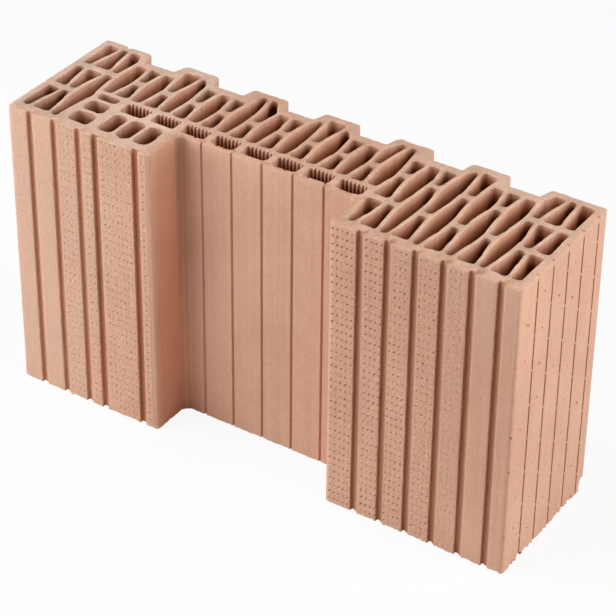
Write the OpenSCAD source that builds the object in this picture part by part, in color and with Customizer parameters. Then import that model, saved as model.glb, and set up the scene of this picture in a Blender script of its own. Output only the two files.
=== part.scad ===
// Vertically perforated clay block with a recess in its front face.
// One fired piece: the section is extruded through a die and cut to height.
// Plan: X runs along the block from its left end, Y from the front face to the
// tongues at the back, Z up. The finished block is centred over its bed face.

/* [Block] */
// Length of the block, end face to end face
block_l = 440; // [400:1:500]
// Depth of the block, front face to the tips of the tongues
block_d = 124; // [118:0.5:140]
// Height of the block between its ground bed faces
block_h = 249; // [100:1:300]
// Radius of the four upright corners
corner_r = 2.5; // [0.5:0.1:4]

/* [Tongues] */
// Middle of the first tongue from the left end
tongue_first = 91.75; // [80:0.25:110]
// Distance from tongue to tongue
tongue_pitch = 63.75; // [55:0.25:75]
// Width of a tongue across its tip
tongue_w = 30.5; // [22:0.5:36]
// Height of a tongue above the floor of the valleys
tongue_h = 12.5; // [8:0.25:16]
// How far each flank of a tongue leans out from tip to root
tongue_flank = 3.5; // [1:0.25:6]
// Radius of the tongue tips
tongue_r = 3.5; // [1:0.25:5]
// Least width of the corner land at the right end
land_min = 25; // [15:1:60]

/* [Shells and webs] */
// Clay between the front face and the first row of cells
front_shell = 10; // [8:0.25:14]
// Clay between a tongue's tip and the cells in it
back_shell = 6; // [5:0.25:9]
// Clay between the floor of a valley and the cells behind it
valley_shell = 7.5; // [6:0.25:10]
// Clay between an end face and the outermost cells
end_shell = 6; // [4:0.25:8]
// Slanting web between neighbouring columns, measured along the block
web = 3; // [2:0.1:4.5]
// Cross web between two cells of one column
cross_web = 5.5; // [4:0.25:8]

/* [Cells] */
// Middle of the first column of cells from the left end
column_first = 9.9; // [9:0.1:14]
// Distance from column to column
column_pitch = 13.1; // [12:0.05:16]
// How far the webs swing to each side of straight
web_swing = 2.35; // [0:0.05:2.4]
// Radius of the cell corners
cell_r = 2.6; // [1:0.1:3]
// Radius in which the webs turn at the row lines
bend_r = 110; // [5:1:130]
// How far a cell that reaches into a tongue may stand out from under it
tongue_lean = 3.5; // [2:0.25:5]

/* [Recess] */
// Left wall of the recess from the left end
recess_x = 132; // [126:0.5:150]
// Width of the recess
recess_w = 154.5; // [110:0.5:170]
// Depth of the recess
recess_d = 37; // [30:0.5:40]
// Radius of the outer edges of the recess
recess_edge_r = 3; // [1:0.25:5]
// Radius of the inner corners of the recess
recess_fillet_r = 7; // [2:0.5:12]
// First fine groove in the recess wall, from the recess's left wall
recess_score_first = 19; // [14:0.25:30]
// Distance from fine groove to fine groove
recess_score_pitch = 26.75; // [15:0.25:40]
// Width of a fine groove in the recess wall
recess_score_w = 2.2; // [1:0.1:3]
// Depth of a fine groove in the recess wall
recess_score_d = 1.8; // [0.8:0.1:2.2]

/* [Comb cells] */
// Distance from comb cell to comb cell
comb_pitch = 27.1; // [25:0.1:32]
// Width of a comb cell
comb_w = 22; // [16:0.25:22.5]
// Depth of a comb cell
comb_d = 13; // [10:0.25:14]
// Clay in front of and behind the comb cells
comb_wall = 4; // [3:0.25:6]
// How far the last comb cell stops short of the recess's right wall
comb_inset = 1; // [0:0.25:6]
// Ribs on the back wall of a comb cell
rib_count = 6; // [3:1:6]
// Distance from rib to rib
rib_pitch = 3.3; // [2.6:0.1:3.4]
// Width of a rib
rib_w = 1.4; // [0.8:0.1:2]
// How far a rib stands out
rib_h = 2; // [1:0.1:4]
// Radius of the comb cell corners
comb_r = 3; // [1:0.1:4]

/* [Left pillar cells] */
// Left side of the three stacked cells from the left end
stack_x = 47.5; // [46.5:0.25:50]
// Width of the stacked cells
stack_w = 19; // [14:0.25:20]
// Depth of the front stacked cell
stack_front_d = 15.5; // [10:0.25:16]
// Depth of the middle stacked cell
stack_middle_d = 14; // [10:0.25:15]
// Clay between the stacked cells
stack_web = 3.25; // [2.5:0.25:4]
// Radius of the stacked cells' corners
stack_r = 4; // [1:0.25:4.5]
// Slots side by side next to the recess
slot_count = 3; // [1:1:3]
// Width of a slot
slot_w = 13.5; // [9:0.25:14]
// Clay between the slots
slot_web = 2.5; // [2:0.25:4]
// Clay between the last slot and the recess
slot_to_recess = 11.5; // [8:0.25:14]
// Clay between the slots and the comb cells
slot_to_comb = 5; // [3:0.25:10]
// Radius of the slot ends
slot_r = 5; // [1:0.25:6]

/* [Front grooves] */
// First groove from the left end
groove_left = 17.75; // [14:0.25:24]
// Last groove from the right end
groove_right = 18.5; // [14:0.25:24]
// Distance from groove to groove
groove_pitch = 22.5; // [18:0.25:28]
// Depth of the grooves
groove_d = 3; // [1.5:0.1:4]
// Width of a groove's floor
groove_floor = 1.4; // [1:0.1:4]
// Run of a groove's steep left wall
groove_steep = 0.4; // [0:0.05:1]
// Run of a groove's sloping right wall
groove_slope = 4.6; // [0.5:0.1:6]
// Floor of the two wide grooves beside the recess
key_floor = 4.8; // [3:0.1:7]
// Wide groove nearer to the recess, from the recess
key_near = 17.25; // [13:0.25:22]
// Wide groove further from the recess, from the recess
key_far = 54; // [40:0.25:58]
// Least plain land between the recess and the first groove right of it
groove_clear = 15; // [10:0.5:30]

/* [End faces] */
// First score line from the front face
score_first = 24; // [15:0.25:30]
// Distance from score line to score line
score_pitch = 21.75; // [16:0.05:30]
// Width of a score line
score_w = 1.6; // [1:0.1:3]
// Depth of a score line
score_d = 2.4; // [0.8:0.1:3]
// Least land between the last score line and the tongue side
score_land = 10; // [6:0.5:20]

/* [Hidden] */
clay = "#d2a085";

// Straight pieces in which a rounded corner is drawn
arc_steps = 4;
// Share of a side that a rounded corner may take up
side_share = 0.48;
// Corners flatter than this many degrees stay as they are
flat_turn = 2;

// Raised lands at the back: corner land, tongues, corner land
valley_w = tongue_pitch - tongue_w;
valley_y = block_d - tongue_h;
left_land = tongue_first - tongue_w / 2 - valley_w;
tongue_room = block_l - land_min - valley_w - tongue_w / 2 - tongue_first;
tongue_count = 1 + floor(tongue_room / tongue_pitch);
last_tip = tongue_first + (tongue_count - 1) * tongue_pitch + tongue_w / 2;
right_land = last_tip + valley_w;
tongue_lands = [
    for (k = [0 : tongue_count - 1])
        let (middle = tongue_first + k * tongue_pitch)
        [middle - tongue_w / 2, middle + tongue_w / 2]
];
lands = concat([[-block_l, left_land]], tongue_lands, [[right_land, 2 * block_l]]);

// Pattern of the cells, with three rows of webs from front to back
row_count = 3;
column_count = 1 + floor((block_l - 2 * column_first) / column_pitch);
row_pitch = (block_d - front_shell - back_shell) / row_count;
half_mean = (column_pitch - web) / 2;
half_wide = half_mean + web_swing;

// Zone behind the recess, with the comb cells in front of the columns
recess_right = recess_x + recess_w;
comb_y = recess_d + comb_wall;
zone_y = comb_y + comb_d + comb_wall;
comb_gap = comb_pitch - comb_w;
comb_right = recess_right - comb_inset;
comb_room = comb_right + comb_gap - stack_x - stack_w - web;
comb_count = floor(comb_room / comb_pitch);

// Length and direction helpers
function unit(v) = v / norm(v);
function clamp(value, low, high) = max(low, min(high, value));

// One rounded corner at p between its neighbours a and b
function corner_arc(a, p, b, r) =
    let (
        to_a = unit([a.x - p.x, a.y - p.y]),
        to_b = unit([b.x - p.x, b.y - p.y]),
        angle = acos(clamp(to_a * to_b, -1, 1)),
        turn = 180 - angle,
        reach = side_share * min(norm([a.x - p.x, a.y - p.y]), norm([b.x - p.x, b.y - p.y])),
        run = min(r / tan(angle / 2), reach),
        radius = run * tan(angle / 2),
        middle = [p.x, p.y] + unit(to_a + to_b) * radius / sin(angle / 2),
        from = [p.x, p.y] + to_a * run - middle,
        to = [p.x, p.y] + to_b * run - middle
    )
    [
        for (k = [0 : arc_steps])
            let (part = k / arc_steps)
            middle + (sin((1 - part) * turn) * from + sin(part * turn) * to) / sin(turn)
    ];

// Angle by which an outline turns at p
function turn_at(a, p, b) =
    180 - acos(clamp(unit([a.x - p.x, a.y - p.y]) * unit([b.x - p.x, b.y - p.y]), -1, 1));

// Outline through vertices [x, y, radius], with its corners rounded
function rounded(v) = [
    for (i = [0 : len(v) - 1])
        let (
            a = v[(i + len(v) - 1) % len(v)],
            p = v[i],
            b = v[(i + 1) % len(v)]
        )
        each (p.z == 0 || turn_at(a, p, b) < flat_turn ? [[p.x, p.y]] : corner_arc(a, p, b, p.z))
];

// Rounded rectangle from corner to corner
function box_outline(low, high, r) =
    rounded([[low.x, low.y, r], [high.x, low.y, r], [high.x, high.y, r], [low.x, high.y, r]]);

// Middle of column i
function column_x(i) = column_first + i * column_pitch;
// Row line k, counted from the front
function row_y(k) = front_shell + k * row_pitch;

// Half width of column i at y: the webs zigzag from row line to row line,
// and neighbouring columns are wide where the other is narrow
function half_width(i, y) =
    let (
        along = (y - front_shell) / row_pitch + (i % 2),
        phase = along - 2 * floor(along / 2),
        swing = phase < 1 ? 2 * phase - 1 : 3 - 2 * phase
    )
    half_mean + web_swing * swing;

// Sides of column i at y; the outermost columns are straight at the shells
function left_x(i, y) = i == 0 ? end_shell : column_x(i) - half_width(i, y);
function right_x(i, y) =
    i == column_count - 1 ? block_l - end_shell : column_x(i) + half_width(i, y);

// How far back the cells reach at x: full in a tongue, less behind a valley
function land_reach(land, x) =
    clamp(min(x - land[0], land[1] - x) / back_shell, 0, 1);
function reach_at(x) = max([for (land = lands) land_reach(land, x)]);
valley_back = valley_y - valley_shell;
tip_back = block_d - back_shell;
function cells_back(x) = valley_back + (tip_back - valley_back) * reach_at(x);
// Whether column i lies under one of the lands, and so reaches into it
function under_land(i) =
    let (
        left = left_x(i, valley_back) + tongue_lean,
        right = right_x(i, valley_back) - tongue_lean
    )
    len([for (land = lands) if (left > land[0] && right < land[1]) land]) > 0;
// Places along X where the tips' full reach begins and ends, from right to left
land_bends = [
    for (k = [len(lands) - 1 : -1 : 0])
        each [lands[k][1] - back_shell, lands[k][0] + back_shell]
];

// Columns behind the recess start deeper in the block
function in_zone(i) =
    column_x(i) + half_wide > stack_x - web && column_x(i) - half_wide < recess_right + web;
function after_zone(i) = i > 0 && in_zone(i - 1) && !in_zone(i);
// Columns by the ends and beside the recess have a cross web on every row line
function stiffened(i) = i < 2 || i > column_count - 3 || after_zone(i);
// A column is crossed where it is narrow, or on every row line if stiffened
function crossed(i, k) = stiffened(i) || (k + i) % 2 == 0;
function column_front(i) = in_zone(i) ? zone_y : front_shell;
// Row lines at which column i has a cross web
function crossings(i) = [
    for (k = [1 : row_count - 1])
        if (crossed(i, k) && row_y(k) - cross_web > column_front(i)) row_y(k)
];
// Front and back limit of each cell in column i
function cell_limits(i) =
    let (
        cross = crossings(i),
        fronts = concat([column_front(i)], [for (y = cross) y + cross_web / 2]),
        backs = concat([for (y = cross) y - cross_web / 2], [block_d])
    )
    [for (k = [0 : len(fronts) - 1]) [fronts[k], backs[k]]];

// Row lines at which the sides of a cell bend, between y0 and y1
function bends(y0, y1) = [for (k = [1 : row_count - 1]) if (row_y(k) > y0 + 1 && row_y(k) < y1 - 1) row_y(k)];
function reversed(list) = [for (k = [len(list) - 1 : -1 : 0]) list[k]];

// A cell between two limits inside the block
function inner_cell(i, y0, y1) =
    let (sides = bends(y0, y1))
    concat(
        [[left_x(i, y0), y0, cell_r], [right_x(i, y0), y0, cell_r]],
        [for (y = sides) [right_x(i, y), y, bend_r]],
        [[right_x(i, y1), y1, cell_r], [left_x(i, y1), y1, cell_r]],
        [for (y = reversed(sides)) [left_x(i, y), y, bend_r]]
    );

// A cell that runs back into a tongue and follows its inside
function tongue_cell(i, y0) =
    let (
        right = right_x(i, cells_back(right_x(i, tip_back))),
        left = left_x(i, cells_back(left_x(i, tip_back))),
        sides = bends(y0, valley_back)
    )
    concat(
        [[left_x(i, y0), y0, cell_r], [right_x(i, y0), y0, cell_r]],
        [for (y = sides) [right_x(i, y), y, bend_r]],
        [[right, cells_back(right), cell_r]],
        [for (x = land_bends) if (x > left + tongue_lean && x < right - tongue_lean) [x, tip_back, cell_r]],
        [[left, cells_back(left), cell_r]],
        [for (y = reversed(sides)) [left_x(i, y), y, bend_r]]
    );

module column_cells() {
    for (i = [0 : column_count - 1])
        for (limits = cell_limits(i))
            if (limits[1] > valley_back && under_land(i))
                polygon(rounded(tongue_cell(i, limits[0])));
            else
                polygon(rounded(inner_cell(i, limits[0], min(limits[1], valley_back))));
}

// Comb cells behind the recess, counted from the right
function comb_x(k) = comb_right - comb_w / 2 - k * comb_pitch;

module comb_cell(x) {
    back = comb_y + comb_d;
    rib_0 = x - (rib_count - 1) * rib_pitch / 2;
    difference() {
        polygon(box_outline([x - comb_w / 2, comb_y], [x + comb_w / 2, back], comb_r));
        for (k = [0 : rib_count - 1])
            translate([rib_0 + k * rib_pitch - rib_w / 2, back - rib_h])
                square([rib_w, rib_h + web]);
    }
}

module comb_cells() {
    for (k = [0 : comb_count - 1])
        comb_cell(comb_x(k));
}

// Three cells one behind the other at the left of the zone
module stacked_cells() {
    middle_y = front_shell + stack_front_d + stack_web;
    back_y = middle_y + stack_middle_d + stack_web;
    limits = [
        [front_shell, front_shell + stack_front_d],
        [middle_y, middle_y + stack_middle_d],
        [back_y, zone_y - stack_web]
    ];
    for (y = limits)
        polygon(box_outline([stack_x, y[0]], [stack_x + stack_w, y[1]], stack_r));
}

// Slots side by side between the stacked cells and the recess
module pillar_slots() {
    for (k = [0 : slot_count - 1]) {
        right = recess_x - slot_to_recess - k * (slot_w + slot_web);
        polygon(box_outline([right - slot_w, front_shell], [right, comb_y - slot_to_comb], slot_r));
    }
}

// Front grooves, each from its left lip, seen from the front face inwards
function groove(x, floor_w, slope) = [
    [x, 0, 0],
    [x + groove_steep, groove_d, 0],
    [x + groove_steep + floor_w, groove_d, 0],
    [x + groove_steep + floor_w + slope, 0, 0]
];
left_grooves = [
    for (x = [groove_left : groove_pitch : stack_x + stack_w])
        each groove(x, groove_floor, groove_slope)
];
right_groove_count = 1 + floor((block_l - groove_right - recess_right - groove_clear) / groove_pitch);
right_grooves = [
    for (k = [right_groove_count - 1 : -1 : 0])
        each groove(block_l - groove_right - k * groove_pitch, groove_floor, groove_slope)
];
key_grooves = [
    for (from = [key_far, key_near])
        each groove(recess_x - from, key_floor, groove_steep)
];

// Fine grooves in the recess wall
recess_score_count = 1 + floor((recess_w - 2 * recess_score_first) / recess_score_pitch);
recess_scores = [
    for (k = [0 : recess_score_count - 1])
        let (x = recess_x + recess_score_first + k * recess_score_pitch)
        each [
            [x - recess_score_w / 2, recess_d, 0],
            [x, recess_d + recess_score_d, 0],
            [x + recess_score_w / 2, recess_d, 0]
        ]
];
recess_outline = concat(
    [[recess_x, 0, recess_edge_r], [recess_x, recess_d, recess_fillet_r]],
    recess_scores,
    [[recess_right, recess_d, recess_fillet_r], [recess_right, 0, recess_edge_r]]
);

// Score lines of an end face, cut in from x towards the middle of the block
score_count = 1 + floor((block_d - score_land - score_first) / score_pitch);
function score(x, y, inward) = [
    [x, y - score_w / 2, 0],
    [x + inward * score_d, y, 0],
    [x, y + score_w / 2, 0]
];
score_lines = [for (k = [0 : score_count - 1]) score_first + k * score_pitch];
right_end = [for (y = score_lines) each score(block_l, y, -1)];
left_end = [for (y = reversed(score_lines)) each reversed(score(0, y, 1))];

// Back of the block from right to left: the valleys between the raised lands
tongue_side = [
    for (k = [len(lands) - 1 : -1 : 1])
        let (from = lands[k][0], to = lands[k - 1][1])
        each [
            [from, block_d, tongue_r],
            [from - tongue_flank, valley_y, tongue_r / 2],
            [to + tongue_flank, valley_y, tongue_r / 2],
            [to, block_d, tongue_r]
        ]
];

block_outline = concat(
    [[0, 0, corner_r]], left_grooves, key_grooves, recess_outline, right_grooves,
    [[block_l, 0, corner_r]], right_end,
    [[block_l, block_d, corner_r]], tongue_side,
    [[0, block_d, corner_r]], left_end
);

module section() {
    difference() {
        polygon(rounded(block_outline));
        column_cells();
        comb_cells();
        stacked_cells();
        pillar_slots();
    }
}

module clay_block() {
    color(clay)
        translate([-block_l / 2, -block_d / 2, 0])
            linear_extrude(block_h)
                section();
}

clay_block();
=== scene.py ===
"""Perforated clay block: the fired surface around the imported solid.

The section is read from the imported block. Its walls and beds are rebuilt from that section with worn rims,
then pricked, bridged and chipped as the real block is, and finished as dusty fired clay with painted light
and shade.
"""
import math

import bmesh
import bpy
import numpy as np
from mathutils import Matrix, Vector, geometry, noise
from mathutils.bvhtree import BVHTree
from mathutils.kdtree import KDTree


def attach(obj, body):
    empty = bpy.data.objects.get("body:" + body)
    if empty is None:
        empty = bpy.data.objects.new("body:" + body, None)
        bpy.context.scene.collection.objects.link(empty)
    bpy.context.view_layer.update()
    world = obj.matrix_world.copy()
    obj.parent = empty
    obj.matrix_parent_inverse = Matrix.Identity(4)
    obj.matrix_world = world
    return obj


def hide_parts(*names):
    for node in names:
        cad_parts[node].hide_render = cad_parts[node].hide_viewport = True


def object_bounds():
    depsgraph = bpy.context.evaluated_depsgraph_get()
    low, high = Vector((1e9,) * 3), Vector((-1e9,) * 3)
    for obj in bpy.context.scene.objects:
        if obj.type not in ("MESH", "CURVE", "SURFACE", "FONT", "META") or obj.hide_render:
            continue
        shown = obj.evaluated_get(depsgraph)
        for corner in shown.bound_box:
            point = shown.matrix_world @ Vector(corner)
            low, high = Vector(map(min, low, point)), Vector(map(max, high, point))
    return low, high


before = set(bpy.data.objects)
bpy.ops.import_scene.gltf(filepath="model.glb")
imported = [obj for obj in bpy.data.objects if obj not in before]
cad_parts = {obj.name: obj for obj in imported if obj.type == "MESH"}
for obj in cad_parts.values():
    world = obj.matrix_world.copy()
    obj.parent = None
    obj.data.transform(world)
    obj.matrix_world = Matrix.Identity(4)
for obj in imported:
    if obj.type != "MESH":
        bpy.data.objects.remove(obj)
CAD_LOW, CAD_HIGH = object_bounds()

# Units, and the planes of the block
MM = 0.001
LEFT = CAD_LOW.x
RIGHT = CAD_HIGH.x
FRONT = CAD_LOW.y
BACK = CAD_HIGH.y
BOTTOM = CAD_LOW.z
TOP = CAD_HIGH.z
PLANE_TOLERANCE = 0.01 * MM

# Camera, at the photo's viewing angle
CAMERA_AIM = Vector((-0.0838, 0.1440, 0.0))
CAMERA_TURN = math.radians(33.005)
CAMERA_RISE = math.radians(34.613)
CAMERA_ROLL = math.radians(0.637)
CAMERA_REACH = 2.0812
CAMERA_LENS = 145.43
CAMERA_SENSOR = 36.0
CAMERA_CLIP_END = 20.0

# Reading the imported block: what counts as one point, as the top bed and as a wall, and where rays start
JOIN_DISTANCE = 0.001 * MM
BED_UPRIGHT = 0.9
WALL_UPRIGHT = 0.5
RAY_START = 0.02 * MM
BED_JOIN_LIMIT = 1e-9

# Worn rims where the walls meet the ground beds
POINT_STEP = 2.0 * MM
FRONT_WEAR = 1.2 * MM
OUTER_WEAR = 0.8 * MM
CELL_WEAR = 1.0 * MM
TOP_RIM_STEPS = 3
BOTTOM_RIM_STEPS = 1
WEAR_SHARE_OF_WEB = 0.3
WEAR_LENGTH = 5.0 * MM
COARSE_RAGGED = 0.7
FINE_RAGGED = 0.8
LEAST_RAGGED = 0.3
BITE_LENGTH = 11.0 * MM
BITE_DEPTH = 2.0 * MM
BITE_START = 0.32

# Easing of a worn rim that would fold: the share of each side that has to remain, and how it is reached
LEAST_SIDE_SHARE = 0.25
FOLD_ROUNDS = 40
FOLD_EASE = 0.75

# Rounded lips of the outline's sharp corners
LIP_ROUND = 0.7 * MM
LIP_TURN = math.radians(25.0)
LIP_LEAST_SIDE = 2.6 * MM
LIP_SHARE_OF_SIDE = 0.4

# Slight unevenness of the pressed walls
WALL_LEVELS = 10
WALL_SWAY = 0.10 * MM
WALL_SWAY_LENGTH = 28.0 * MM
CELL_DRIFT = 0.5 * MM
CELL_DRIFT_LENGTH = 16.0 * MM

# Needle pricks in the front lands: depth on each land, from left to right, as a share of the full depth
FRONT_GROOVE_DEPTH = 3.0 * MM
PRICK_STRENGTHS = (0.0, 0.0, 0.5, 0.6, 0.58, 0.68, 0.9, 0.86, 0.74, 0.58, 0.42, 0.0, 0.0)
PRICK_PITCH = 4.0 * MM
PRICK_WIDTH = 2.2 * MM
PRICK_DEPTH = 1.1 * MM
PRICK_JITTER = 0.15 * MM
PRICK_SWING = 0.18
PRICK_SEED = 11

# A prick's cone in shares of its size: radius at the tip and at the mouth, length, and how far it stands out
PRICK_SIDES = 8
PRICK_TIP = 0.14
PRICK_MOUTH = 0.68
PRICK_LENGTH = 1.5
PRICK_OUT = 0.5

# Rows of pricks, in two groups on each side: first column, top row from the top, row pitch, number of rows
PRICK_LEFT_GROUPS = ((LEFT + 124.5 * MM, 2.6 * MM, 6.50 * MM, 8),
                     (LEFT + 124.5 * MM, 55.6 * MM, 6.41 * MM, 30))
PRICK_RIGHT_GROUPS = ((LEFT + 289.9 * MM, 4.2 * MM, 6.52 * MM, 8),
                      (LEFT + 290.8 * MM, 57.6 * MM, 6.42 * MM, 30))
PRICK_LEFT_SLANT = -0.015
PRICK_LEFT_EDGE = 1.0 * MM
PRICK_RIGHT_EDGE = 0.3 * MM

# Bridges across the score lines of the ends, the plugs at their tops, and the slanting nicks between them
SCORE_DEPTH = 2.4 * MM
BRIDGE_PITCH = 29.7 * MM
BRIDGE_FIRST_LEVELS = (20.5 * MM, 35.0 * MM)
BRIDGE_TOP_SPACE = 10.0 * MM
BRIDGE_SIZE = Vector((2.2 * MM, 2.6 * MM, 1.6 * MM))
BRIDGE_SWING = 0.05
BRIDGE_SINK = 0.03 * MM
BRIDGE_LEANS = (-0.5, 0.1)
BRIDGE_SEED = 40
SCORE_PLUG_SIZE = Vector((2.2 * MM, 2.6 * MM, 4.0 * MM))
SCORE_PLUG_DROP = 1.2 * MM
END_NICK_SIZE = (1.7 * MM, 4.4 * MM, 1.2 * MM)
END_NICK_SLANT = math.radians(40.0)
END_NICK_EDGE = 1.0 * MM
END_NICK_JITTER = 0.8 * MM
END_NICK_SWING = 0.35
END_NICK_SEED = 70

# Chips, as uneven lumps: how rough and how unevenly sized they are
CHIP_NOISE = 3.2
CHIP_ROUGH = 0.55
CHIP_SWING = 0.45

# Chips along the ends' lower edges, large ones and small ones between them
FOOT_CHIP_PITCH = 10.9 * MM
FOOT_CHIP_FIRST = FRONT + 13.1 * MM
FOOT_CHIP_LEVEL = BOTTOM - 0.3 * MM
FOOT_CHIP_SIZE = (5.4 * MM, 6.6 * MM, 7.4 * MM)
FOOT_CHIP_JITTER = 1.8 * MM
SMALL_FOOT_CHIP_FIRST = FRONT + 18.5 * MM
SMALL_FOOT_CHIP_SIZE = (3.0 * MM, 5.0 * MM, 4.4 * MM)
SMALL_FOOT_CHIP_JITTER = 1.6 * MM

# Chips of the upright corners, of the lands' feet and of the comb cells' front rims
CORNER_CHIP_OUT = 0.7 * MM
CORNER_CHIP_SIZE = (1.8 * MM, 1.8 * MM, 5.0 * MM)
CORNER_CHIP_JITTER = 0.5 * MM
LAND_CHIP_EDGE = 1.0 * MM
LAND_CHIP_OUT = 0.2 * MM
LAND_CHIP_SIZE = (3.4 * MM, 2.0 * MM, 3.0 * MM)
LAND_CHIP_JITTER = 0.7 * MM
LAND_CHIP_SEED = 120
COMB_CHIP_FIRST = 12.0 * MM
COMB_CHIP_BEHIND = 3.6 * MM
COMB_CHIP_RISE = 0.3 * MM
COMB_CHIP_PITCH = 6.6 * MM
COMB_CHIP_SIZE = (2.6 * MM, 1.9 * MM, 1.8 * MM)
COMB_CHIP_JITTER = 1.1 * MM

# The two large chips: at the foot of the right back corner, and on the back's top edge near the left end
LARGE_FOOT_CHIP = (RIGHT + 0.5 * MM, BACK + 0.5 * MM, BOTTOM + 1.0 * MM)
LARGE_FOOT_CHIP_SIZE = (17.0 * MM, 13.0 * MM, 21.0 * MM)
CROWN_CHIP = (LEFT + 23.0 * MM, BACK + 0.6 * MM, TOP)
CROWN_CHIP_SIZE = (11.0 * MM, 4.0 * MM, 5.0 * MM)

# Painted shade of the cell walls, darker with depth and where the cell is tight: the depth at which they are
# darkest at a typical gap, and what the gap does
CELL_SHADE_DEPTH = 18.0 * MM
CELL_WALL_REACH = 0.65 * POINT_STEP
TYPICAL_GAP = 11.2 * MM
GAP_CONTRAST = 1.8
GAP_START = 0.8 * MM
GAP_VIEWS = (-1.0, -0.5, 0.0, 0.5, 1.0)
LEAST_TIGHT = 0.8
MOST_TIGHT = 3.2
# Painted light on the walls of open cells and painted shade on tight ones, and the tightness over which it
# turns
OPEN_CELL_PAINTED_LIGHT = 0.14
OPEN_CELL_RANGE = (0.8, 1.9)

# Shares of that for the comb cells, found by their row behind the recess, and for cells left of the recess
COMB_ROW = 13.3 * MM
COMB_ROW_WIDTH = 2.0 * MM
COMB_ROW_REACH = 60.0 * MM
COMB_SHADE = 0.42
PILLAR_REACH = 5.0 * MM
PILLAR_SHADE = 1.5

# What counts as recess, end and groove when the clay is marked
RECESS_MARGIN = 4.0 * MM
RECESS_WALL_DEPTH = 3.0 * MM
RECESS_LEAST_DEPTH = 8.0 * MM
END_DEPTH = 3.0 * MM
DEPTH_ALLOWANCE = 1.1
SCORE_HALF_WIDTH = 1.6 * MM
SCORE_TOP_SPACE = 2.0 * MM
SLOPE_START = 0.1
SLOPE_END = 0.9
LEFT_GROOVES_END = LEFT + 72.0 * MM

# Painted shade, redder and darker, in grooves, pricks, score lines and the recess
NOOK_SHADE_START = 0.3 * MM
NOOK_SHADE_DEPTH = 2.2 * MM
PRICK_NOOK_SHADE = 0.6
RIGHT_FRONT_NOOK_SHADE = 0.08
SCORE_NOOK_SHADE = 1.8
SCORE_NOOK_SHADE_DEPTH = 0.5 * MM
FILLET_NOOK_SHADE = 0.5
FILLET_WIDTH = 8.0 * MM
FILLET_START = 0.3 * MM
SIDE_NOOK_SHADE = 0.6
SIDE_NOOK_SHADE_SHARE = 0.25

# Painted shade of the groove floors from left to right, as places and shares, and the share that marks wide
# ones
GROOVE_SHADE_SHARES = ((LEFT, LEFT + 70.0 * MM, LEFT + 77.0 * MM, LEFT + 130.0 * MM, LEFT + 300.0 * MM),
                 (0.75, 0.75, 1.05, 1.05, 0.95))
WIDE_GROOVE_SHADE_SHARE = 0.99

# Painted shade that darkens the clay, or painted light where it is below 0: in the grooves and the score
# lines
SLOPE_PAINTED_SHADE = 0.37
LEFT_SLOPE_PAINTED_SHADE = 0.14
LEFT_FLOOR_PAINTED_LIGHT = -0.14
WIDE_GROOVE_PAINTED_SHADE = 0.10
SCORE_PAINTED_SHADE = 0.3
SCORE_PAINTED_SHADE_DEPTH = 0.6 * MM

# The ends made lighter near the front and high up
END_LIGHTENING = -0.09
END_LIGHTENING_REACH = FRONT + 50.0 * MM
END_LIGHTENING_FADE = 30.0 * MM
END_LIGHTENING_LEVEL = 150.0 * MM

# Painted light and shade in the recess: along its back wall, low near its left corner, and by level on its
# side and corner
RECESS_LIGHT_AND_SHADE_PLACES = (45.0 * MM, 100.0 * MM)
RECESS_PAINTED_LIGHT_AND_SHADE = (-0.05, 0.04)
LOW_CORNER_PAINTED_LIGHT = -0.18
LOW_CORNER_FADE = 0.95
LOW_CORNER_REACH = 50.0 * MM
LOW_CORNER_WIDTH = 40.0 * MM
CORNER_LEVELS = (80.0 * MM, 150.0 * MM, 220.0 * MM)
CORNER_PAINTED_SHADE = (0.08, 0.28, 0.36)
SIDE_PAINTED_LIGHT_AND_SHADE = (-0.06, -0.06, 0.02)
CORNER_PLACE = 2.6 * MM
CORNER_WIDTH = 3.4 * MM
CORNER_DEPTH = 6.0 * MM

# How rough the clay is: on pricked lands, elsewhere from left to right, in the recess and on the beds
PRICKED_ROUGH = 1.6
ROUGHNESS = ((LEFT, 0.0, RIGHT), (0.8, 0.7, 0.5))
RECESS_ROUGH = 0.4
BED_ROUGH = 0.9

# Tones of the clay, each pair from patch to patch, and tints that multiply them
WALL_TONES = ((0.60, 0.335, 0.230, 1.0), (0.655, 0.385, 0.272, 1.0))
PALE_WALL_TONE = (0.69, 0.452, 0.335)
BED_TONES = ((0.675, 0.425, 0.310, 1.0), (0.715, 0.470, 0.350, 1.0))
MIDDLE_BED_TONE = (0.645, 0.388, 0.275, 1.0)
BED_TINT = (1.035, 1.033, 1.015, 1.0)
LEFT_BED_TINT = (1.04, 1.105, 1.14, 1.0)
NO_TINT = (1.0, 1.0, 1.0, 1.0)
# Painted shade, redder and darker, in grooves, pricks, score lines and the recess
NOOK_SHADE_TINT = (0.91, 0.67, 0.54, 1.0)
# Painted shade down the cell walls, from the rim to the deepest
DEEPEST_CELL_SHADE = (0.21, 0.095, 0.038, 1.0)
CELL_SHADE_TINTS = ((0.12, (1.00, 0.94, 0.91, 1.0)),
              (0.40, (0.75, 0.56, 0.445, 1.0)),
              (0.75, (0.38, 0.195, 0.105, 1.0)))
MOTTLE_RANGE = (0.3, 0.7)
SHARP_EDGE = math.radians(32)

# Studio light: each soft box with its turn from the front, its rise, both in degrees, and its power in watts
SOFT_BOXES = (("left_low", -60.0, 15.0, 16.5),
              ("left_high", -60.0, 65.0, 17.5),
              ("front_left", -30.0, 15.0, 10.5),
              ("right_low", 110.0, 15.0, 17.2),
              ("right_high", 88.0, 42.0, 13.0))
SOFT_BOX_SIZE = 1.0
SOFT_BOX_REACH = 1.9
SOFT_BOX_AIM = Vector((0.0, 0.0, 0.12))
WORLD_LIGHT = 0.02
FLOOR_REACH = 6.0
FLOOR_GLOW = 0.9


def add_node(tree, kind, inputs=None, **settings):
    """A node of this kind with its settings, and with its inputs linked to sockets or set to values."""
    node = tree.nodes.new(kind)
    for name, value in settings.items():
        setattr(node, name, value)
    for name, source in (inputs or {}).items():
        if isinstance(source, bpy.types.NodeSocket):
            tree.links.new(source, node.inputs[name])
        else:
            node.inputs[name].default_value = source
    return node


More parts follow.
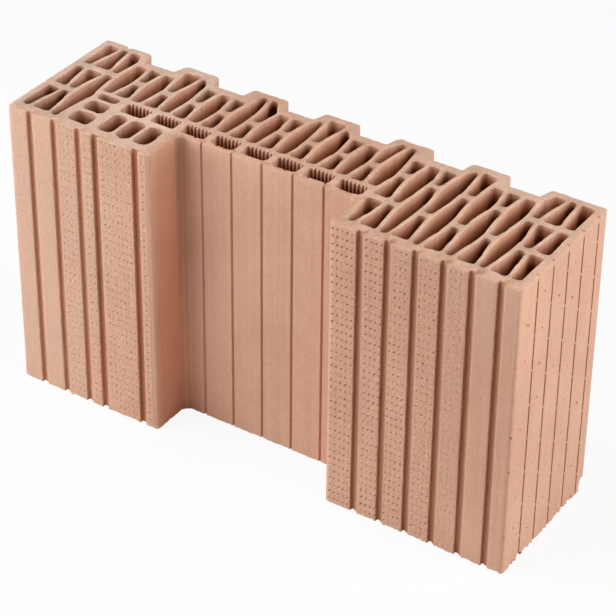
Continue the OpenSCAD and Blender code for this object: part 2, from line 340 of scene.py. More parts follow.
def place_camera():
    """The camera, looking down on the block's front and right end."""
    back = Vector((math.sin(CAMERA_TURN) * math.cos(CAMERA_RISE),
                   -math.cos(CAMERA_TURN) * math.cos(CAMERA_RISE),
                   math.sin(CAMERA_RISE)))
    level = Vector((math.cos(CAMERA_TURN), math.sin(CAMERA_TURN), 0.0))
    right = math.cos(CAMERA_ROLL) * level + math.sin(CAMERA_ROLL) * back.cross(level)
    turn = Matrix((right, back.cross(right), back)).transposed().to_4x4()
    data = bpy.data.cameras.new("photo_camera")
    data.lens = CAMERA_LENS
    data.sensor_width = CAMERA_SENSOR
    data.clip_end = CAMERA_CLIP_END
    camera = bpy.data.objects.new("photo_camera", data)
    camera.matrix_world = Matrix.Translation(CAMERA_AIM + CAMERA_REACH * back) @ turn
    bpy.context.scene.collection.objects.link(camera)
    bpy.context.scene.camera = camera


def merged_copy(node):
    """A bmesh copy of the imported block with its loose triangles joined."""
    copy = bmesh.new()
    copy.from_mesh(node.data)
    bmesh.ops.remove_doubles(copy, verts=copy.verts, dist=JOIN_DISTANCE)
    copy.normal_update()
    return copy


def section_loops(copy):
    """The section's closed loops, with the clay on the left of each, from the edges of the top bed."""
    following = {}
    for face in copy.faces:
        if face.normal.z < BED_UPRIGHT:
            continue
        for corner in face.loops:
            if any(other.normal.z < WALL_UPRIGHT for other in corner.edge.link_faces):
                following[corner.vert] = corner.link_loop_next.vert
    loops = []
    while following:
        start, vert = following.popitem()
        points = [start.co.xy]
        while vert != start:
            points.append(vert.co.xy)
            vert = following.pop(vert)
        loops.append(np.array(points))
    return sorted(loops, key=lambda loop: -np.ptp(loop[:, 0]))


def divided(loop):
    """The loop with each side divided into even steps."""
    points = []
    for here, there in zip(loop, np.roll(loop, -1, axis=0)):
        count = max(1, math.ceil(np.linalg.norm(there - here) / POINT_STEP))
        points.extend(here + (there - here) * step / count for step in range(count))
    return np.array(points)


def eased(loop):
    """The loop with its sharp outer corners rounded, but not those of the narrow score lines."""
    points = []
    for before, corner, after in zip(np.roll(loop, 1, axis=0), loop, np.roll(loop, -1, axis=0)):
        back = before - corner
        ahead = after - corner
        turn = math.atan2(ahead[0] * back[1] - ahead[1] * back[0], -ahead @ back)
        lengths = np.linalg.norm(back), np.linalg.norm(ahead)
        if turn < LIP_TURN or min(lengths) < LIP_LEAST_SIDE:
            points.append(corner)
            continue
        cut = min(LIP_ROUND * math.tan(turn / 2), LIP_SHARE_OF_SIDE * min(lengths))
        start = corner + back * cut / lengths[0]
        end = corner + ahead * cut / lengths[1]
        points.extend((start, (start + 2.0 * corner + end) / 4.0, end))
    return np.array(points)


def clay_side(loop):
    """Unit directions from the loop's points into the clay."""
    ahead = np.roll(loop, -1, axis=0) - loop
    ahead /= np.linalg.norm(ahead, axis=1)[:, None]
    left = np.stack([-ahead[:, 1], ahead[:, 0]], axis=1)
    both = left + np.roll(left, 1, axis=0)
    return both / np.linalg.norm(both, axis=1)[:, None]


def clay_room(tree, loop, into):
    """How much clay there is behind each point of the loop and its neighbours, straight into the clay."""
    room = []
    for point, way in zip(loop, into):
        way = Vector((way[0], way[1], 0.0))
        start = Vector((point[0], point[1], (TOP + BOTTOM) / 2)) + way * RAY_START
        hit = tree.ray_cast(start, way)
        room.append(hit[3] if hit[0] else POINT_STEP)
    return np.min([np.roll(room, shift) for shift in (-2, -1, 0, 1, 2)], axis=0)


def wobble(point, level, length):
    """Smooth unevenness from -1 to 1 that repeats about every length."""
    return noise.noise(Vector((point[0], point[1], level)) / length)


def rim_wear(loop, room, width, level):
    """How far the rim is worn back at each point: a ragged edge with a bite here and there."""
    wear = []
    for point, space, share in zip(loop, room, width):
        coarse = COARSE_RAGGED * wobble(point, level, WEAR_LENGTH)
        fine = FINE_RAGGED * wobble(point, level, WEAR_LENGTH / 3)
        ragged = 1.0 + coarse + fine
        bite = max(0.0, wobble(point, level + 0.5, BITE_LENGTH) - BITE_START) * BITE_DEPTH
        wear.append(min(share * max(ragged, LEAST_RAGGED) + bite, WEAR_SHARE_OF_WEB * space))
    return np.array(wear)


def unfolded(loop, into, wear):
    """The wear, eased where the worn ring would fold over itself."""
    ahead = np.roll(loop, -1, axis=0) - loop
    least = LEAST_SIDE_SHARE * np.sum(ahead * ahead, axis=1)
    for _ in range(FOLD_ROUNDS):
        worn = loop + into * wear[:, None]
        folded = np.sum((np.roll(worn, -1, axis=0) - worn) * ahead, axis=1) < least
        wear = np.where(folded | np.roll(folded, 1), FOLD_EASE * wear, wear)
    return wear


def rim_profile(steps):
    """Shares of the wear inwards and downwards at each ring of a quarter-round rim, from bed to wall."""
    turns = [math.pi / 2 * step / steps for step in range(steps + 1)]
    return [(1.0 - math.sin(turn), 1.0 - math.cos(turn)) for turn in turns]


def ring(loop, into, inset, levels):
    """Points of one ring round a wall: the loop set back into the clay, at the given levels."""
    flat = loop + into * inset[:, None]
    return np.column_stack([flat, levels])


def wall_rings(tree, loop, is_outline):
    """The rings of one wall, from the top bed down to the bottom bed."""
    if not is_outline:
        drift = [(wobble(p, 1.0, CELL_DRIFT_LENGTH), wobble(p, 2.0, CELL_DRIFT_LENGTH)) for p in loop]
        loop = loop + CELL_DRIFT * np.array(drift)
    into = clay_side(loop)
    room = clay_room(tree, loop, into)
    if is_outline:
        width = np.where(loop[:, 1] < FRONT + FRONT_GROOVE_DEPTH / 2, FRONT_WEAR, OUTER_WEAR)
    else:
        width = np.full(len(loop), CELL_WEAR)
    top_wear = unfolded(loop, into, rim_wear(loop, room, width, TOP))
    bottom_wear = unfolded(loop, into, rim_wear(loop, room, width, BOTTOM))
    rings = [ring(loop, into, inward * top_wear, TOP - down * top_wear)
             for inward, down in rim_profile(TOP_RIM_STEPS)]
    count = WALL_LEVELS if is_outline else 0
    for step in range(1, count + 1):
        level = TOP + (BOTTOM - TOP) * step / (count + 1)
        sway = np.array([WALL_SWAY * (1.0 + wobble(p, level, WALL_SWAY_LENGTH)) for p in loop])
        rings.append(ring(loop, into, sway, np.full(len(loop), level)))
    for inward, down in reversed(rim_profile(BOTTOM_RIM_STEPS)):
        rings.append(ring(loop, into, inward * bottom_wear, BOTTOM + down * bottom_wear))
    return rings


def bed_faces(loops):
    """Triangles of a bed between outline and cells, as indices into the loops' points taken in turn."""
    points = [Vector(point[:2]) for loop in loops for point in loop]
    rounds = []
    start = 0
    for number, loop in enumerate(loops):
        indices = list(range(start, start + len(loop)))
        rounds.append(indices if number == 0 else indices[::-1])
        start += len(loop)
    triangles_inside = 1
    found = geometry.delaunay_2d_cdt(points, [], rounds, triangles_inside, BED_JOIN_LIMIT)
    if len(found[0]) != len(points):
        raise ValueError("the worn rims cross each other")
    source = [origin[0] for origin in found[3]]
    return [[source[index] for index in face] for face, within in zip(found[2], found[5]) if within == [0]]


def rebuilt_block(tree, loops):
    """A closed mesh of the block with worn rims, made from its section, and the loops of its cell walls."""
    walls = [wall_rings(tree, divided(eased(loops[0])), True)]
    walls.extend(wall_rings(tree, divided(loop), False) for loop in loops[1:])
    points = []
    faces = []
    top_index = []
    bottom_index = []
    for rings in walls:
        count = len(rings[0])
        start = len(points)
        for ring_points in rings:
            points.extend(ring_points)
        for row in range(len(rings) - 1):
            upper = start + row * count
            lower = upper + count
            for here in range(count):
                there = (here + 1) % count
                faces.append((upper + here, lower + here, lower + there, upper + there))
        top_index.extend(range(start, start + count))
        bottom_index.extend(range(start + (len(rings) - 1) * count, start + len(rings) * count))
    top_bed = bed_faces([rings[0] for rings in walls])
    bottom_bed = bed_faces([rings[-1] for rings in walls])
    faces.extend([top_index[k] for k in face] for face in top_bed)
    faces.extend([bottom_index[k] for k in reversed(face)] for face in bottom_bed)
    mesh = bpy.data.meshes.new("rebuilt_block")
    mesh.from_pydata(points, [], faces)
    mesh.update()
    return mesh, [rings[TOP_RIM_STEPS][:, :2] for rings in walls[1:]]


def new_tree(name, inputs):
    """An empty Geometry Nodes tree with named inputs, and its input node."""
    tree = bpy.data.node_groups.new(name, "GeometryNodeTree")
    for title, kind in inputs.items():
        tree.interface.new_socket(title, in_out="INPUT", socket_type=kind)
    tree.interface.new_socket("Geometry", in_out="OUTPUT", socket_type="NodeSocketGeometry")
    return tree, add_node(tree, "NodeGroupInput").outputs


def lattice_points(tree, given):
    """Points on a lattice of columns and rows, counted by their index, with a little jitter."""
    def math_of(operation, first, second):
        node = add_node(tree, "ShaderNodeMath", operation=operation)
        for socket, source in zip(node.inputs, (first, second)):
            tree.links.new(source, socket)
        return node.outputs[0]

    def scaled(vector, factor):
        return add_node(tree, "ShaderNodeVectorMath", {"Vector": vector, "Scale": factor},
                        operation="SCALE").outputs[0]

    def added(first, second):
        node = add_node(tree, "ShaderNodeVectorMath", operation="ADD")
        tree.links.new(first, node.inputs[0])
        tree.links.new(second, node.inputs[1])
        return node.outputs[0]

    index = add_node(tree, "GeometryNodeInputIndex").outputs[0]
    column = math_of("MODULO", index, given["Columns"])
    row = add_node(tree, "ShaderNodeMath", {0: math_of("DIVIDE", index, given["Columns"])},
                   operation="FLOOR").outputs[0]
    shake = add_node(tree, "FunctionNodeRandomValue", {"Seed": given["Seed"]}, data_type="FLOAT_VECTOR")
    shake.inputs["Min"].default_value = (-1.0, -1.0, -1.0)
    place = added(given["Start"], scaled(given["Across"], column))
    place = added(place, scaled(given["Up"], row))
    place = added(place, scaled(shake.outputs["Value"], given["Jitter"]))
    total = math_of("MULTIPLY", given["Columns"], given["Rows"])
    return add_node(tree, "GeometryNodePoints", {"Count": total, "Position": place}).outputs[0]


LATTICE_INPUTS = {"Start": "NodeSocketVector", "Across": "NodeSocketVector", "Up": "NodeSocketVector",
                  "Columns": "NodeSocketInt", "Rows": "NodeSocketInt", "Jitter": "NodeSocketFloat",
                  "Size": "NodeSocketVector", "Turn": "NodeSocketRotation", "Size Swing": "NodeSocketFloat",
                  "Seed": "NodeSocketInt", "Material": "NodeSocketMaterial"}


def scattered(tree, given, points, shape, turn):
    """The shape on every point, sized unevenly, realized and given its material."""
    low = add_node(tree, "ShaderNodeMath", {0: 1.0, 1: given["Size Swing"]}, operation="SUBTRACT").outputs[0]
    high = add_node(tree, "ShaderNodeMath", {0: 1.0, 1: given["Size Swing"]}, operation="ADD").outputs[0]
    swing = add_node(tree, "FunctionNodeRandomValue", data_type="FLOAT")
    for name, source in (("Min", low), ("Max", high), ("Seed", given["Seed"])):
        socket = next(s for s in swing.inputs if s.name == name and s.enabled)
        tree.links.new(source, socket)
    value = next(s for s in swing.outputs if s.enabled)
    size = add_node(tree, "ShaderNodeVectorMath", {"Vector": given["Size"], "Scale": value},
                    operation="SCALE").outputs[0]
    placed = add_node(tree, "GeometryNodeInstanceOnPoints",
                      {"Points": points, "Instance": shape, "Rotation": turn, "Scale": size}).outputs[0]
    real = add_node(tree, "GeometryNodeRealizeInstances", {"Geometry": placed}).outputs[0]
    coated = add_node(tree, "GeometryNodeSetMaterial",
                      {"Geometry": real, "Material": given["Material"]}).outputs[0]
    add_node(tree, "NodeGroupOutput", {"Geometry": coated})


def prick_tree():
    """Needle pricks on a lattice: blunt cones, point inwards along their own Z."""
    tree, given = new_tree("needle_pricks", LATTICE_INPUTS)
    cone = add_node(tree, "GeometryNodeMeshCone",
                    {"Vertices": PRICK_SIDES, "Radius Top": PRICK_TIP, "Radius Bottom": PRICK_MOUTH,
                     "Depth": PRICK_LENGTH}).outputs["Mesh"]
    sunk = add_node(tree, "GeometryNodeTransform",
                    {"Geometry": cone, "Translation": (0.0, 0.0, -PRICK_OUT)}).outputs[0]
    scattered(tree, given, lattice_points(tree, given), sunk, given["Turn"])
    return tree


def bridge_tree():
    """Lumps of clay that bridge a score line, on a column of levels."""
    tree, given = new_tree("score_bridges", LATTICE_INPUTS)
    lump = add_node(tree, "GeometryNodeMeshCube", {"Size": (1.0, 1.0, 1.0)}).outputs["Mesh"]
    lean = add_node(tree, "FunctionNodeRandomValue", {"Seed": given["Seed"]}, data_type="FLOAT_VECTOR")
    lean.inputs["Min"].default_value = (BRIDGE_LEANS[0], 0.0, 0.0)
    lean.inputs["Max"].default_value = (BRIDGE_LEANS[1], 0.0, 0.0)
    turn = add_node(tree, "FunctionNodeEulerToRotation", {"Euler": lean.outputs["Value"]}).outputs[0]
    scattered(tree, given, lattice_points(tree, given), lump, turn)
    return tree


def chip_tree():
    """Rough bites out of an edge, in a row: uneven lumps turned every way."""
    tree, given = new_tree("edge_chips", LATTICE_INPUTS)
    ball = add_node(tree, "GeometryNodeMeshIcoSphere", {"Radius": 0.5, "Subdivisions": 3}).outputs["Mesh"]
    rough = add_node(tree, "ShaderNodeTexNoise", {"Scale": CHIP_NOISE, "Detail": 2.0}, noise_dimensions="3D")
    centred = add_node(tree, "ShaderNodeVectorMath", {0: rough.outputs["Color"], 1: (0.5, 0.5, 0.5)},
                       operation="SUBTRACT").outputs[0]
    lifted = add_node(tree, "ShaderNodeVectorMath", {"Vector": centred, "Scale": CHIP_ROUGH},
                      operation="SCALE").outputs[0]
    lump = add_node(tree, "GeometryNodeSetPosition", {"Geometry": ball, "Offset": lifted}).outputs[0]
    spin = add_node(tree, "FunctionNodeRandomValue", {"Seed": given["Seed"]}, data_type="FLOAT_VECTOR")
    spin.inputs["Max"].default_value = (math.tau, math.tau, math.tau)
    turn = add_node(tree, "FunctionNodeEulerToRotation", {"Euler": spin.outputs["Value"]}).outputs[0]
    scattered(tree, given, lattice_points(tree, given), lump, turn)
    return tree


def grown(tree, **values):
    """The plain mesh that a tree makes from these values, given by the names of its inputs."""
    holder = bpy.data.objects.new(tree.name, bpy.data.meshes.new(tree.name))
    bpy.context.scene.collection.objects.link(holder)
    modifier = holder.modifiers.new(tree.name, "NODES")
    modifier.node_group = tree
    identifiers = {socket.name: socket.identifier for socket in tree.interface.items_tree
                   if socket.in_out == "INPUT"}
    for name, value in values.items():
        modifier[identifiers[name]] = value
    evaluated = holder.evaluated_get(bpy.context.evaluated_depsgraph_get())
    mesh = bpy.data.meshes.new_from_object(evaluated)
    bpy.data.objects.remove(holder)
    return mesh


def joined(meshes):
    """One mesh that holds all of these."""
    whole = bmesh.new()
    for mesh in meshes:
        whole.from_mesh(mesh)
    result = bpy.data.meshes.new("joined")
    whole.to_mesh(result)
    whole.free()
    return result


def worked(mesh, tool, operation):
    """The mesh with a tool mesh cut from it or joined to it."""
    stock = bpy.data.objects.new("stock", mesh)
    other = bpy.data.objects.new("tool", tool)
    for thing in (stock, other):
        bpy.context.scene.collection.objects.link(thing)
    boolean = stock.modifiers.new("worked", "BOOLEAN")
    boolean.solver = "MANIFOLD"
    boolean.operation = operation
    boolean.object = other
    evaluated = stock.evaluated_get(bpy.context.evaluated_depsgraph_get())
    result = bpy.data.meshes.new_from_object(evaluated)
    for thing in (stock, other):
        bpy.data.objects.remove(thing)
    return result


def front_lands(outline):
    """The flat lands of the front, as (left, right), in order."""
    spans = []
    for here, there in zip(outline, np.roll(outline, -1, axis=0)):
        if max(abs(here[1] - FRONT), abs(there[1] - FRONT)) < PLANE_TOLERANCE:
            spans.append(sorted((here[0], there[0])))
    lands = []
    for left, right in sorted(spans):
        if lands and left - lands[-1][1] < PLANE_TOLERANCE:
            lands[-1][1] = right
        else:
            lands.append([left, right])
    return lands


def score_lines(outline, end):
    """Where the score lines run on an end face, as places along Y, from the front."""
    depth = np.abs(outline[:, 0] - end)
    deeper = (depth > np.roll(depth, 1)) & (depth > np.roll(depth, -1)) & (depth < 2.0 * SCORE_DEPTH)
    return sorted(outline[deeper, 1])


def land_pricks(tree, clay, lands):
    """Needle pricks of all front lands."""
    meshes = []
    for number, ((left, right), strength) in enumerate(zip(lands, PRICK_STRENGTHS)):
        if strength == 0.0:
            continue
        on_left = left < (LEFT + RIGHT) / 2
        edge = PRICK_LEFT_EDGE if on_left else PRICK_RIGHT_EDGE
        slant = PRICK_LEFT_SLANT if on_left else 0.0
        for column, down, pitch, rows in PRICK_LEFT_GROUPS if on_left else PRICK_RIGHT_GROUPS:
            first = column + math.ceil((left + edge - column) / PRICK_PITCH) * PRICK_PITCH
            columns = math.floor((right - edge - first) / PRICK_PITCH) + 1
            meshes.append(grown(tree, **{
                "Start": (first, FRONT, TOP - down + slant * (first - column)),
                "Across": (PRICK_PITCH, 0.0, slant * PRICK_PITCH), "Up": (0.0, 0.0, -pitch),
                "Columns": columns, "Rows": rows, "Jitter": PRICK_JITTER,
                "Size": (PRICK_WIDTH, PRICK_WIDTH, PRICK_DEPTH * strength), "Turn": (-math.pi / 2, 0.0, 0.0),
                "Size Swing": PRICK_SWING, "Seed": PRICK_SEED + number + rows, "Material": clay}))
    return joined(meshes)


def bridge_rows(first):
    """How many bridges or nicks there are in a line whose first is at this level."""
    return int((TOP - BOTTOM - first - BRIDGE_TOP_SPACE) / BRIDGE_PITCH) + 1


def end_bridges(tree, clay, outline):
    """Bridges across the score lines of both ends, and the plugs where the lines stop below the top."""
    meshes = []
    for side, end in ((-1.0, LEFT), (1.0, RIGHT)):
        depth = end - side * (BRIDGE_SIZE.x * (1.0 + BRIDGE_SWING) / 2 + BRIDGE_SINK)
        for number, y in enumerate(score_lines(outline, end)):
            first = BRIDGE_FIRST_LEVELS[number % 2]
            common = {"Across": (0.0, 0.0, 0.0), "Columns": 1, "Jitter": 0.0, "Turn": (0.0, 0.0, 0.0),
                      "Seed": BRIDGE_SEED + number + int(side), "Material": clay}
            meshes.append(grown(tree, **common, **{
                "Start": (depth, y, BOTTOM + first), "Up": (0.0, 0.0, BRIDGE_PITCH),
                "Rows": bridge_rows(first), "Size": BRIDGE_SIZE, "Size Swing": BRIDGE_SWING}))
            meshes.append(grown(tree, **common, **{
                "Start": (depth, y, TOP - SCORE_PLUG_DROP - SCORE_PLUG_SIZE.z / 2), "Up": (0.0, 0.0, 0.0),
                "Rows": 1, "Size": SCORE_PLUG_SIZE, "Size Swing": 0.0}))
    return joined(meshes)


def end_nicks(tree, clay, outline):
    """Shallow slanting nicks between the score lines of both ends."""
    meshes = []
    for side, end in ((-1.0, LEFT), (1.0, RIGHT)):
        inwards = Matrix.Rotation(-side * math.pi / 2, 4, "Y") @ Matrix.Rotation(END_NICK_SLANT, 4, "Z")
        lines = [FRONT + END_NICK_EDGE, *score_lines(outline, end)]
        for number, (before, after) in enumerate(zip(lines, lines[1:])):
            first = BRIDGE_FIRST_LEVELS[(number + 1) % 2]
            meshes.append(grown(tree, **{
                "Start": (end, (before + after) / 2, BOTTOM + first), "Across": (0.0, 0.0, 0.0),
                "Up": (0.0, 0.0, BRIDGE_PITCH), "Columns": 1, "Rows": bridge_rows(first),
                "Jitter": END_NICK_JITTER, "Size": END_NICK_SIZE, "Turn": inwards.to_euler(),
                "Size Swing": END_NICK_SWING, "Seed": END_NICK_SEED + number, "Material": clay}))
    return joined(meshes)


def chipped(tree, clay, start, across, count, size, jitter, seed):
    """A row of chips along an edge."""
    return grown(tree, **{
        "Start": start, "Across": across, "Up": (0.0, 0.0, 0.0), "Columns": count, "Rows": 1,
        "Jitter": jitter, "Size": size, "Turn": (0.0, 0.0, 0.0), "Size Swing": CHIP_SWING, "Seed": seed,
        "Material": clay})


def edge_chips(tree, clay, lands, recess):
    """Chips of the ends' lower edges, the upright corners, the lands' feet and the comb cells' rims."""
    rows = []
    for seed, x in ((101, LEFT), (102, RIGHT)):
        rows.append(chipped(tree, clay, (x, FOOT_CHIP_FIRST, FOOT_CHIP_LEVEL), (0.0, FOOT_CHIP_PITCH, 0.0), 9,
                            FOOT_CHIP_SIZE, FOOT_CHIP_JITTER, seed))
    for seed, x, y in ((103, LEFT, FRONT), (104, RIGHT, FRONT), (105, RIGHT, BACK)):
        corner = Vector((x, y, BOTTOM + BRIDGE_FIRST_LEVELS[1]))
        corner += Vector((x, y, 0.0)).normalized() * CORNER_CHIP_OUT
        rows.append(chipped(tree, clay, corner, (0.0, 0.0, BRIDGE_PITCH), 7, CORNER_CHIP_SIZE,
                            CORNER_CHIP_JITTER, seed))
    for number, (left, right) in enumerate(lands[:-1]):
        rows.append(chipped(tree, clay, (left + LAND_CHIP_EDGE, FRONT - LAND_CHIP_OUT, BOTTOM),
                            (right - left, 0.0, 0.0), 2, LAND_CHIP_SIZE, LAND_CHIP_JITTER,
                            LAND_CHIP_SEED + number))
    left, right, floor = recess
    first = (left + COMB_CHIP_FIRST, floor + COMB_CHIP_BEHIND, TOP + COMB_CHIP_RISE)
    rows.append(chipped(tree, clay, first, (COMB_CHIP_PITCH, 0.0, 0.0), 21, COMB_CHIP_SIZE,
                        COMB_CHIP_JITTER, 140))
    return joined(rows)


def corner_chips(tree, clay):
    """The two large chips of the back, and the small ones between the first on the ends' lower edges."""
    still = (0.0, 0.0, 0.0)
    foot = chipped(tree, clay, LARGE_FOOT_CHIP, still, 1, LARGE_FOOT_CHIP_SIZE, 0.0, 151)
    crown = chipped(tree, clay, CROWN_CHIP, still, 1, CROWN_CHIP_SIZE, 0.0, 152)
    rows = [chipped(tree, clay, (x, SMALL_FOOT_CHIP_FIRST, BOTTOM), (0.0, FOOT_CHIP_PITCH, 0.0), 8,
                    SMALL_FOOT_CHIP_SIZE, SMALL_FOOT_CHIP_JITTER, seed)
            for seed, x in ((153, LEFT), (154, RIGHT))]
    return joined([foot, crown, *rows])


def recess_span(outline):
    """Left side, right side and floor of the recess in the front."""
    x, y = outline.T
    within = (y > FRONT + RECESS_LEAST_DEPTH) & (y < (FRONT + BACK) / 2)
    inside = outline[within & (x > LEFT + RECESS_LEAST_DEPTH) & (x < RIGHT - RECESS_LEAST_DEPTH)]
    return inside[:, 0].min(), inside[:, 0].max(), np.median(inside[:, 1])


def cell_tightness(tree, loop):
    """How close the cell's other walls stand in front of each point of its loop: 1 at a typical gap."""
    nearness = []
    for point, way in zip(loop, -clay_side(loop)):
        way = Vector((way[0], way[1], 0.0))
        start = Vector((point[0], point[1], (TOP + BOTTOM) / 2)) + way * GAP_START
        views = [Matrix.Rotation(turn, 3, "Z") @ way for turn in GAP_VIEWS]
        hits = [tree.ray_cast(start, view)[3] for view in views]
        nearness.append(np.mean([1.0 / (GAP_START + (hit or TYPICAL_GAP)) for hit in hits]))
    even = np.mean([np.roll(nearness, shift) for shift in (-1, 0, 1)], axis=0)
    return np.clip((TYPICAL_GAP * even) ** GAP_CONTRAST, LEAST_TIGHT, MOST_TIGHT)


def cell_shade(loop, recess):
    """The share of painted shade that a cell is given: less for comb cells, more left of the recess."""
    left, right, floor = recess
    along, behind = loop.mean(axis=0)
    if abs(behind - floor - COMB_ROW) < COMB_ROW_WIDTH and left - COMB_ROW_REACH < along < right:
        return COMB_SHADE
    if along < left and behind < floor + PILLAR_REACH:
        return PILLAR_SHADE
    return 1.0


def cell_marks(clay_tree, cell_loops, recess, points):
    """For each point, 1 if it lines a cell and 0 if not, and how tight the nearest cell is there, times its
    share of painted shade.
    """
    loop_points = np.concatenate(cell_loops)
    tree = KDTree(len(loop_points))
    for index, (x, y) in enumerate(loop_points):
        tree.insert((x, y, 0.0), index)
    tree.balance()
    found = [tree.find((x, y, 0.0)) for x, y in points[:, :2]]
    cell_wall = np.array([near < CELL_WALL_REACH for _, _, near in found]).astype(float)
    tightness = [cell_tightness(clay_tree, loop) * cell_shade(loop, recess) for loop in cell_loops]
    return cell_wall, np.concatenate(tightness)[[index for _, index, _ in found]]


def within_any(x, spans):
    """Which places lie inside any of the spans."""
    return np.any([(x > low) & (x < high) for low, high in spans], axis=0)


def mark_shade_and_roughness(mesh, clay_tree, cell_loops, outline, lands, recess):
    """Mark on each vertex whether it lines a cell, where painted shade and light go, and how rough the clay
    is.
    """
    points = np.empty(len(mesh.vertices) * 3)
    mesh.vertices.foreach_get("co", points)
    points = points.reshape(-1, 3)
    cell_wall, tightness = cell_marks(clay_tree, cell_loops, recess, points)

    left, right, floor = recess
    x, y, z = points.T
    from_end = np.minimum(x - LEFT, RIGHT - x)
    beside_recess = (x > left - RECESS_MARGIN) & (x < right + RECESS_MARGIN)
    in_recess = beside_recess & (y < floor + RECESS_WALL_DEPTH)
    side_wall = in_recess & (y < floor - RECESS_WALL_DEPTH)
    at_front = ~in_recess & (y < FRONT + FRONT_GROOVE_DEPTH * DEPTH_ALLOWANCE)
    lines = score_lines(outline, RIGHT)
    near_line = np.any([abs(y - line) < SCORE_HALF_WIDTH for line in lines], axis=0)
    at_score = near_line & (from_end < SCORE_DEPTH * DEPTH_ALLOWANCE) & (z < TOP - SCORE_TOP_SPACE)
    on_land = within_any(x, lands)
    pricked = within_any(x, [land for land, depth in zip(lands, PRICK_STRENGTHS) if depth > 0.0])
    in_groove = at_front & ~on_land & (from_end > END_DEPTH)
    groove_depth = (y - FRONT) / FRONT_GROOVE_DEPTH

    # How much painted shade the groove floors get at each place
    groove_shade = np.interp(x, *GROOVE_SHADE_SHARES)
    # Painted shade in pricks, grooves, the recess, score lines and on the recess side wall
    nook_shade = np.where(at_front & on_land, PRICK_NOOK_SHADE * nook_shade_share(y - FRONT), 0.0)
    nook_shade = np.where(in_groove, groove_shade * nook_shade_share(y - FRONT), nook_shade)
    nook_shade = np.where(at_front & (x > right), np.maximum(nook_shade, RIGHT_FRONT_NOOK_SHADE), nook_shade)
    fillet = (x < left + FILLET_WIDTH) & (y < floor - FILLET_START)
    nook_shade = np.where(in_recess, np.where(fillet, FILLET_NOOK_SHADE, nook_shade_share(y - floor)), nook_shade)
    nook_shade = np.where(at_score, SCORE_NOOK_SHADE * np.clip(from_end / SCORE_NOOK_SHADE_DEPTH, 0.0, 1.0), nook_shade)
    side_share = np.clip((y - FRONT) / (SIDE_NOOK_SHADE_SHARE * (floor - FRONT)), 0.0, 1.0)
    nook_shade = np.where(side_wall, SIDE_NOOK_SHADE * side_share, nook_shade)

    # Painted shade on the groove slopes, painted light on the left grooves' floors, painted shade in wide
    # grooves and score lines
    slope = in_groove & (groove_depth > SLOPE_START) & (groove_depth < SLOPE_END)
    on_left = x < LEFT_GROOVES_END
    painted_shade_and_light = np.where(slope, np.where(on_left, LEFT_SLOPE_PAINTED_SHADE, SLOPE_PAINTED_SHADE), 0.0)
    groove_floor = in_groove & (groove_depth >= SLOPE_END)
    painted_shade_and_light = np.where(groove_floor & on_left, LEFT_FLOOR_PAINTED_LIGHT, painted_shade_and_light)
    painted_shade_and_light = np.where(in_groove & (groove_shade > WIDE_GROOVE_SHADE_SHARE), WIDE_GROOVE_PAINTED_SHADE, painted_shade_and_light)
    # The ends lighter near the front and high up
    front_share = np.clip((END_LIGHTENING_REACH - y) / END_LIGHTENING_FADE, 0.0, 1.0)
    high_share = np.clip((z - BOTTOM - END_LIGHTENING_LEVEL) / END_LIGHTENING_FADE, 0.0, 1.0)
    painted_shade_and_light = np.where(from_end < END_DEPTH, painted_shade_and_light + END_LIGHTENING * front_share * high_share, painted_shade_and_light)
    painted_shade_and_light = np.where(at_score, SCORE_PAINTED_SHADE * np.clip(from_end / SCORE_PAINTED_SHADE_DEPTH, 0.0, 1.0), painted_shade_and_light)
    # Painted light on the recess's back wall towards its left and low near its left corner, painted shade
    # further right and in its corner, painted light and shade on its side
    low_share = 1.0 - LOW_CORNER_FADE * (z - BOTTOM) / (TOP - BOTTOM)
    corner_share = np.clip((left + LOW_CORNER_REACH - x) / LOW_CORNER_WIDTH, 0.0, 1.0)
    wall_painted_light_and_shade = np.interp(x, [left + place for place in RECESS_LIGHT_AND_SHADE_PLACES], RECESS_PAINTED_LIGHT_AND_SHADE)
    low_painted_light = LOW_CORNER_PAINTED_LIGHT * corner_share * low_share
    painted_shade_and_light = np.where(in_recess & ~side_wall, painted_shade_and_light + wall_painted_light_and_shade + low_painted_light, painted_shade_and_light)
    painted_shade_and_light = np.where(side_wall, np.interp(z - BOTTOM, CORNER_LEVELS, SIDE_PAINTED_LIGHT_AND_SHADE), painted_shade_and_light)
    corner_place = (x - left - CORNER_PLACE) / CORNER_WIDTH
    corner_painted_shade = np.interp(z - BOTTOM, CORNER_LEVELS, CORNER_PAINTED_SHADE) * np.exp(-corner_place ** 2)
    painted_shade_and_light = np.where(in_recess & (y > floor - CORNER_DEPTH), painted_shade_and_light + corner_painted_shade, painted_shade_and_light)

    rough = np.where(at_front & pricked, PRICKED_ROUGH, np.interp(x, *ROUGHNESS))
    rough = np.where(in_recess, RECESS_ROUGH, rough)
    marks = {"cell_wall": cell_wall, "tightness": tightness, "nook_shade": nook_shade, "painted_shade_and_light": painted_shade_and_light, "rough": rough}
    for name, values in marks.items():
        mesh.attributes.new(name, "FLOAT", "POINT").data.foreach_set("value", values)


def nook_shade_share(depth):
    """How much painted shade the clay gets at a depth behind the plain face, from 0 to 1."""
    return np.clip((depth - NOOK_SHADE_START) / NOOK_SHADE_DEPTH, 0.0, 1.0)


def ranged(tree, value, low, high, to_low=0.0, to_high=1.0):
    """A value carried from one range to another, and kept inside it."""
    return add_node(tree, "ShaderNodeMapRange", {"Value": value, "From Min": low, "From Max": high,
                                                 "To Min": to_low, "To Max": to_high}).outputs[0]


def sum_of(tree, first, second, operation="ADD"):
    """Two values taken together, as a sum or by another operation."""
    return add_node(tree, "ShaderNodeMath", {0: first, 1: second}, operation=operation).outputs[0]


